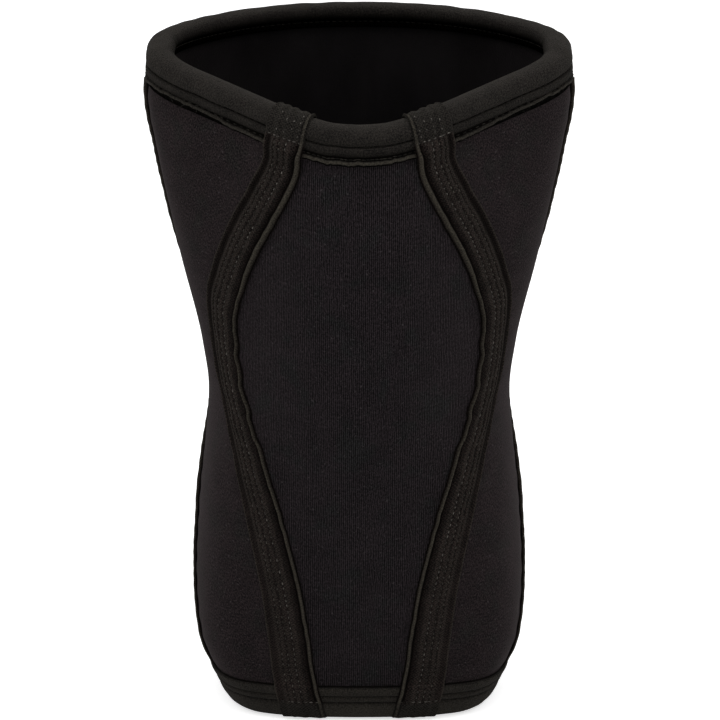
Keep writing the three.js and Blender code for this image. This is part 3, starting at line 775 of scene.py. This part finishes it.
def tape(name, seam, corners, scallop, mirrored):
    """A tape: one loop across it, the relief of its face and then the flat underside, carried along its run.
    Marks give its painted shadow and how rubbed it is, both read from the relief. Wrapped cloth has little of
    either, and the painted shade of the outer groove is fainter low on the sleeve."""
    line, square = tape_run(corners)
    level = line[:, 1][:, None]
    top = np.linspace(0, 1, TAPE_COLUMNS)[None, :]
    under = np.linspace(TAPE_UNDER_SHARE, 0, TAPE_UNDER_POINTS)[None, :-1]
    face = tape_point(seam, line, square, top + 0 * level, tape_rise(line, top), scallop)
    back = tape_point(seam, line, square, under + 0 * level, 0 * under, scallop)
    points = np.concatenate([face, back], 1)
    closed = np.concatenate([points, points[:, :1]], 1)
    across = flat_distance(closed.transpose(1, 0, 2)).T
    along = np.repeat(flat_distance(points[:, MAP_LINE:MAP_LINE + 1]), closed.shape[1], 1)
    under_middle = TAPE_COLUMNS - 0.5 - TAPE_UNDER_POINTS / 2
    piece = lay_cloth(name, points, across, along, ladder=under_middle, mirrored=mirrored)
    share = np.concatenate([top, 0 * under + 1], 1)
    wrap = wrapped(line)
    fold = (share > LIP_FOLD[0]) & (share < LIP_FOLD[1])
    faint = 0.55 * ramp(level, *FAINT_LEVELS) * (share < 0.2)
    unwrapped = 1 - wrap * np.where(share < SCALLOP_FULL, 1, 0.55)
    shadow = read_table(TAPE_RELIEF, "shadow", share, key="share")
    rubbed = read_table(TAPE_RELIEF, "rubbed", share, key="share")
    mark(piece, "shadow", shadow * (1 - faint) * unwrapped)
    mark(piece, "rubbed", rubbed * (1 - wrap * (1 - 0.6 * fold)))
    mark(piece, "wrapped", wrap + 0 * share)
    return piece


WEAVE_ALONG = 1.25
WEAVE_ACROSS = 1.45
TAPE_DEEP = (0.0010, 0.0008, 0.0006)
TAPE_PALE = (0.0344, 0.0240, 0.0217)
TAPE_SHEEN = (0.9, 0.82, 0.65)


def tape_cloth_finish():
    """Woven brown-black tape: dotted rows, the product of a sine wave along the tape and one across it, with
    grain and blotches. It turns to binding cloth where it is wrapped, is paler where it is rubbed, and is
    painted black as shade in its grooves and on the low strip past its lip."""
    material, node = new_material("woven_tape")
    cloth = node("UVMap", uv_map="cloth").outputs[0]
    place = node("TexCoord").outputs["Object"]
    across, along = node("SeparateXYZ", {0: cloth}).outputs[:2]
    grain = spread(node, noise(node, cloth, 1.5, 2.0, 0.8), 0.33, 0.67)
    weave = reckon(node, "SINE", reckon(node, "MULTIPLY", along, 2 * math.pi / WEAVE_ALONG))
    rows = reckon(node, "SINE", reckon(node, "MULTIPLY", across, 2 * math.pi / WEAVE_ACROSS))
    dots = reckon(node, "MULTIPLY", weave, rows)
    tone = reckon(node, "MULTIPLY_ADD", grain, 1.30, -0.62)
    tone = reckon(node, "MULTIPLY_ADD", dots, 0.40, tone)
    tone = reckon(node, "MULTIPLY_ADD", noise(node, place, 140.0, 2.0), 0.7, tone)
    taped = blend_colours(node, tone, TAPE_DEEP, TAPE_PALE)
    bound = blend_colours(node, tone, BINDING_DEEP, BINDING_PALE)
    colour, shadow = rubbed_and_painted_shade(node, blend_colours(node, read_mark(node, "wrapped"), taped, bound), grain)
    height = reckon(node, "MULTIPLY_ADD", dots, 0.4, grain)
    finish_cloth(node, colour, height, NAP_DEPTH, 0.95, 0.04, 0.5, TAPE_SHEEN, shadow)
    return material


FRONT_SCALLOP = 0.60
REAR_SCALLOP = 0.10

tape_cloth = tape_cloth_finish()
seam_tapes = [
    ("front", front_seam, FRONT_TAPE_PATH, FRONT_SCALLOP, 0.305),
    ("rear", rear_seam, REAR_TAPE_PATH, REAR_SCALLOP, 0.245),
]
for end, seam, corners, scallop, length in seam_tapes:
    for side in ("left", "right"):
        piece = tape(f"{end}_seam_tape_{side}_cloth", seam, corners, scallop, side == "left")
        piece.data.materials.append(tape_cloth)
        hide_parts(f"{end}_seam_tape_{side}")

# The stitches. Rows of thick spun thread run along each tape and round each binding, and cross the front
# tapes where the two meet. The row nearest a tape's lip is pale, and the others are duller or the black of
# the cloth. A few cut ends of thread stand off the lip of the rim's binding.
THREAD_PITCH = 2.5
SPINDLE_RINGS = np.array([-0.36, -0.14, 0.14, 0.36])
SPINDLE_SIDES = 6
FINE_STATIONS = 4000
TAPE_ROW_LEVELS = (9.5, 260.5)
TAPE_ROW_SINK = 0.05
OVER_RIM_LEVELS = (263.0, 270.6)
OVER_RIM_SINK = 0.03


def stitches(name, centres, tangents, normals, length, radius):
    """Many stitches in one mesh. Each is a spindle of four rings and two tips, whose radius follows a half
    ellipse along the thread, laid along its tangent and square to its normal."""
    sides, rings = SPINDLE_SIDES, len(SPINDLE_RINGS)
    girth = np.sqrt(1 - (SPINDLE_RINGS / 0.5) ** 2)
    angle = 2 * np.pi * np.arange(sides) / sides
    ring = np.stack([np.repeat(SPINDLE_RINGS * length, sides),
                     np.outer(girth, np.cos(angle)).ravel() * radius,
                     np.outer(girth, np.sin(angle)).ravel() * radius], 1)
    local = np.concatenate([ring, [[-length / 2, 0, 0], [length / 2, 0, 0]]])
    side = np.cross(normals, tangents)
    places = (centres[:, None] + local[None, :, :1] * tangents[:, None] + local[None, :, 1:2] * side[:, None]
              + local[None, :, 2:] * normals[:, None]).reshape(-1, 3) * MM
    k = np.arange(sides)
    after = (k + 1) % sides
    bands = np.concatenate([np.stack([k, after, sides + after, sides + k], 1) + sides * ring_number
                            for ring_number in range(rings - 1)])
    last, tip = sides * (rings - 1), sides * rings
    tips = np.concatenate([np.stack([after, k, 0 * k + tip], 1),
                           np.stack([last + k, last + after, 0 * k + tip + 1], 1)])
    base = len(local) * np.arange(len(centres))[:, None, None]
    faces = (bands[None] + base).reshape(-1, 4).tolist() + (tips[None] + base).reshape(-1, 3).tolist()
    mesh = bpy.data.meshes.new(name)
    mesh.from_pydata(places, [], faces)
    mesh.polygons.foreach_set("use_smooth", np.ones(len(faces), bool))
    mesh.update()
    return hang(name, mesh)


def unit(vectors):
    """Each vector divided by its length."""
    return vectors / np.linalg.norm(vectors, axis=-1, keepdims=True)


def tape_stitch_row(seam, corners, scallop, share, pitch, sink, seed, levels):
    """Centres, tangents and normals of a row of stitches along a tape at one share of its width, between two
    levels on the outside. They lie at even distances, and each strays a little along the row."""
    line, square = tape_run(corners)
    fine = np.linspace(0, len(line) - 1, FINE_STATIONS)
    line, square = (np.stack([np.interp(fine, np.arange(len(a)), c) for c in a.T], 1) for a in (line, square))
    side = np.array([[share, share + 0.02]])
    points = tape_point(seam, line, square, side + 0 * line[:, :1], tape_rise(line, side) - sink, scallop)
    run = flat_distance(points[:, :1])[:, 0]
    even = np.arange(1.5, run[-1] - 1.5, pitch)
    at = np.searchsorted(run, even + np.random.default_rng(seed).uniform(-0.3, 0.3, len(even)))
    outward, level = line[at].T
    at = at[(level > levels[0]) & (level < levels[1]) & (outward > OUTER_SIDE)]
    tangent = unit(np.gradient(points[:, 0], axis=0))[at]
    normal = unit(np.cross((points[:, 1] - points[:, 0])[at], tangent))
    outside = np.sign(np.einsum("ni,ni->n", normal, points[at, 0] * (1, 1, 0)) + 1e-9)[:, None]
    return points[at, 0], tangent, normal * outside


def both_sides(rows):
    """A set of stitch rows on the right and their mirror images on the left."""
    centre, tangent, normal = (np.concatenate(part) for part in zip(*rows))
    flip = np.array([-1, 1, 1])
    return (np.concatenate([centre, centre * flip]), np.concatenate([tangent, tangent * flip]),
            np.concatenate([normal, normal * flip]))


def join_rows(*rows):
    """Several sets of rows as one."""
    return tuple(np.concatenate(part) for part in zip(*rows))


def tape_rows(share, seed):
    """The rows of stitches at one share of the width of a front and a rear tape, on both sides."""
    return both_sides([
        tape_stitch_row(seam, corners, scallop, share, THREAD_PITCH, TAPE_ROW_SINK, seed, TAPE_ROW_LEVELS)
        for _, seam, corners, scallop, _ in seam_tapes])


def facing_out(places, normals):
    """One where a normal points away from the sleeve's upright middle line, and minus one elsewhere."""
    return np.sign(np.sum(normals * (places - (0, BACK_PLACE, 0)) * (1, 1, 0), -1))[:, None]


def binding_row(rim, place, count):
    """A row of stitches round a rim's binding, at a place given as outward and distance from the edge. They
    lie at even turns, and each strays a little along the row."""
    strayed = np.arange(count) + np.random.default_rng(rim["seed"]).uniform(-0.08, 0.08, count)
    turn = (strayed / count)[:, None]
    spot = np.array([[place]])
    here, ahead, above = (binding_point(rim, spot + (0, shift), turn + step)[:, 0]
                          for shift, step in ((0, 0), (0, 0.0008), (0.3, 0)))
    tangent = unit(ahead - here)
    normal = unit(np.cross(tangent, above - here))
    return here, tangent, normal * facing_out(here, normal) * np.sign(place[0] - INNER_SIDE)


CROSSING_COUNT = 7
CROSSING_SHARES = (0.13, 0.79)


def cross_row(seam, corners, level, seed):
    """Stitches that cross a tape at a level, where the binding's own stitches run over it."""
    line, square = tape_run(corners)
    at = np.argmin(np.abs(line[:, 1] - level) + 99 * (line[:, 0] < 0))
    strayed = np.arange(CROSSING_COUNT) + np.random.default_rng(seed).uniform(-0.2, 0.2, CROSSING_COUNT)
    first, last = CROSSING_SHARES
    share = first + (last - first) * strayed / (CROSSING_COUNT - 1)
    near = slice(at - 1, at + 2)
    here, ahead = (tape_point(seam, line[near], square[near], each, tape_rise(line, each)[near], 0.0)
                   for each in (share[None], share[None] + 0.01))
    tangent = unit(ahead[1] - here[1])
    normal = unit(np.cross(here[2] - here[0], tangent))
    return here[1], tangent, normal * facing_out(here[1], normal)


def loose_threads(rim, turns, seed):
    """Ends of thread that stand off the lip of a rim's binding at some turns, each laid in its own
    direction."""
    draw = np.random.default_rng(seed)
    count = len(turns)
    spot = np.stack([draw.uniform(0.7, 1.5, count), draw.uniform(12.2, 14.2, count)], 1)[:, None]
    here = binding_point(rim, spot, np.array(turns)[:, None])[:, 0]
    tangent = unit(draw.normal(0, 1, (count, 3)) + (0.6, 0.0, 0.9))
    return here, tangent, unit(np.cross(tangent, draw.normal(0, 1, (count, 3))))


THREAD_BRIGHTENS = (0.165, 0.20)
THREAD_SHEEN = (0.9, 0.85, 0.75)


def thread_finish(name, deep, pale):
    """Spun thread: a fine twist of dark and light along the yarn, some stitches duller than others, and all
    of them a little brighter above the knee."""
    material, node = new_material(name)
    place = node("TexCoord").outputs["Object"]
    twist = noise(node, place, 1400.0, 2.0)
    tone = spread(node, twist, 0.35, 0.65)
    dull = spread(node, noise(node, place, 330.0, 1.0), 0.36, 0.50)
    height = node("SeparateXYZ", {0: place}).outputs[2]
    shown = spread(node, height, *THREAD_BRIGHTENS, start=0.9)
    tone = reckon(node, "MULTIPLY", reckon(node, "MULTIPLY", tone, dull), shown)
    finish_cloth(node, blend_colours(node, tone, deep, pale), twist, 0.00005, 0.8, 0.05, 0.4, THREAD_SHEEN)
    return material


pale_thread = thread_finish("pale_thread", (0.010, 0.0088, 0.0072), (0.20, 0.184, 0.165))
dull_thread = thread_finish("dull_thread", (0.004, 0.0035, 0.003), (0.115, 0.104, 0.088))
dark_thread = thread_finish("dark_thread", (0.003, 0.0026, 0.0022), (0.024, 0.021, 0.017))

THIGH_STITCHES = 196
CALF_STITCHES = 140
THREAD_END_TURNS = [0.148, 0.153, 0.160, 0.164, 0.171, 0.176, 0.181, 0.826, 0.833, 0.842, 0.853]

# Each row's place on the binding, as outward and distance from the edge.
thigh_places = [(0.62, 6.8), (0.7, 11.4), (-7.70, 6.3)]
calf_places = [(0.95, 11.4), (0.95, 8.6)]
thigh_rows = [binding_row(RIMS["thigh"], place, THIGH_STITCHES) for place in thigh_places]
calf_rows = [binding_row(RIMS["calf"], place, CALF_STITCHES) for place in calf_places]
cross_rows = both_sides([cross_row(front_seam, FRONT_TAPE_PATH, level, 8) for level in BINDING_STITCH_LEVELS])

# The share of the tape's width, the pitch and the seed of each row that goes over the rim.
over_rim = [(0.30, 3.7, 41), (0.46, 2.6, 42), (0.60, 3.3, 43), (0.72, 2.9, 44)]
crossing = both_sides([
    tape_stitch_row(front_seam, FRONT_TAPE_PATH, FRONT_SCALLOP, share, pitch, OVER_RIM_SINK, seed,
                    OVER_RIM_LEVELS)
    for share, pitch, seed in over_rim])
thread_ends = loose_threads(RIMS["thigh"], THREAD_END_TURNS, 31)

pale_rows = join_rows(tape_rows(0.555, 3), cross_rows)
dull_rows = join_rows(tape_rows(0.29, 4), tape_rows(0.42, 6))
dark_rows = tape_rows(0.68, 7)
sewn = [
    ("tape_stitches_pale", pale_rows, pale_thread, "tape_cloth", 1.35, 0.25),
    ("tape_stitches_dull", dull_rows, dull_thread, "tape_cloth", 1.35, 0.23),
    ("tape_stitches_dark", dark_rows, dark_thread, "tape_cloth", 1.35, 0.22),
    ("crossing_stitches", crossing, pale_thread, "tape_cloth", 0.9, 0.20),
    ("binding_stitches", join_rows(*thigh_rows, *calf_rows), dark_thread, "binding_cloth", 1.7, 0.24),
    ("thread_ends", thread_ends, dark_thread, "binding_cloth", 2.8, 0.16),
]
for name, rows, thread, slot, length, radius in sewn:
    piece = stitches(name, *rows, length, radius)
    piece.data.materials.append(thread)

# The floor and the light of a plain studio: a pale floor, a large soft light over the sleeve, one from each
# side and a weaker one beside the camera. The floor is almost white to the camera and darker to the cloth, so
# that it throws little light up the sides.
FLOOR_HALF = 6
FLOOR_GLOW = 0.62
FLOOR_SEEN = (0.93, 0.93, 0.93, 1)
FLOOR_THROWN = (0.60, 0.60, 0.60, 1)
STUDIO_STRENGTH = 0.42
LIGHT_AIM = Vector((0, 0, 0.14))

bpy.context.scene.view_settings.view_transform = "Standard"
world = bpy.data.worlds.new("studio")
bpy.context.scene.world = world
world.use_nodes = True
world.node_tree.nodes["Background"].inputs["Color"].default_value = (1, 1, 1, 1)
world.node_tree.nodes["Background"].inputs["Strength"].default_value = STUDIO_STRENGTH

floor_mesh = bpy.data.meshes.new("floor")
floor_corners = [(FLOOR_HALF * x, FLOOR_HALF * y, 0) for x, y in ((-1, -1), (1, -1), (1, 1), (-1, 1))]
floor_mesh.from_pydata(floor_corners, [], [(0, 1, 2, 3)])
floor = bpy.data.objects.new("floor", floor_mesh)
bpy.context.collection.objects.link(floor)
floor_paint, node = new_material("floor_paint")
seen = node("BsdfPrincipled", {
    "Base Color": FLOOR_SEEN, "Roughness": 0.9, "Specular IOR Level": 0.1,
    "Emission Color": (1, 1, 1, 1), "Emission Strength": FLOOR_GLOW})
thrown = node("BsdfDiffuse", {"Color": FLOOR_THROWN})
to_camera = node("LightPath").outputs["Is Camera Ray"]
paint = node("MixShader", {0: to_camera, 1: thrown.outputs[0], 2: seen.outputs[0]})
node("OutputMaterial", {"Surface": paint.outputs[0]})
floor.data.materials.append(floor_paint)


def soft_light(name, place, size, power):
    """A square light that faces the middle of the sleeve."""
    light = bpy.data.lights.new(name, "AREA")
    light.shape = "SQUARE"
    light.size = size
    light.energy = power
    lamp = bpy.data.objects.new(name, light)
    bpy.context.collection.objects.link(lamp)
    lamp.location = place
    lamp.rotation_euler = (LIGHT_AIM - Vector(place)).to_track_quat("-Z", "Y").to_euler()
    lamp.visible_camera = False


soft_light("light_above", (0, -0.2, 1.6), 1.4, 9)
soft_light("light_left", (-1.3, -0.6, 1.6), 1.0, 7.5)
soft_light("light_right", (1.3, -0.6, 1.6), 1.0, 7.5)
soft_light("light_front", (0, -1.8, 0.9), 1.0, 4)
